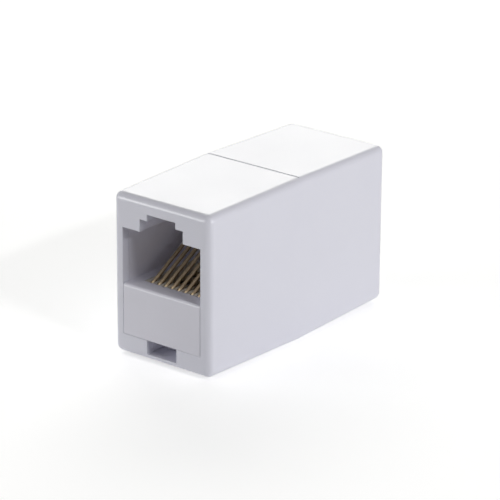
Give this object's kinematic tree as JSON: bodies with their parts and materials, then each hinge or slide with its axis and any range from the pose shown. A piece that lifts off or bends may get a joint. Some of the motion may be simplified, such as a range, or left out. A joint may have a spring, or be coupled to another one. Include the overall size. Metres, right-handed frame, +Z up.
{
  "type": "modular plug inline coupler",
  "caption": "White moulded box with a modular jack in each end, to join two network patch cords in line.",
  "frame": {"origin": "centre of the case's footprint at the seam, on its lowest edge", "axes": "+Z up, the front port faces -Y and the rear one +Y, X across the width"},
  "size_m": [0.0152, 0.0338, 0.0207],
  "materials": {
    "case": "satin gloss, white moulded",
    "insert": "satin gloss, white moulded",
    "contact_block": "plain, off-white moulded",
    "contact": "gold plated spring wire",
    "board": "green laminate"
  },
  "bodies": {
    "root": {"link_board": "board", "front_shell": "case", "front_jack_insert": "insert", "front_contact_block": "contact_block", "front_contact_1": "contact", "front_contact_2": "contact", "front_contact_3": "contact", "front_contact_4": "contact", "front_contact_5": "contact", "front_contact_6": "contact", "front_contact_7": "contact", "front_contact_8": "contact", "rear_shell": "case", "rear_jack_insert": "insert", "rear_contact_block": "contact_block", "rear_contact_1": "contact", "rear_contact_2": "contact", "rear_contact_3": "contact", "rear_contact_4": "contact", "rear_contact_5": "contact", "rear_contact_6": "contact", "rear_contact_7": "contact", "rear_contact_8": "contact"}
  },
  "joints": []
}
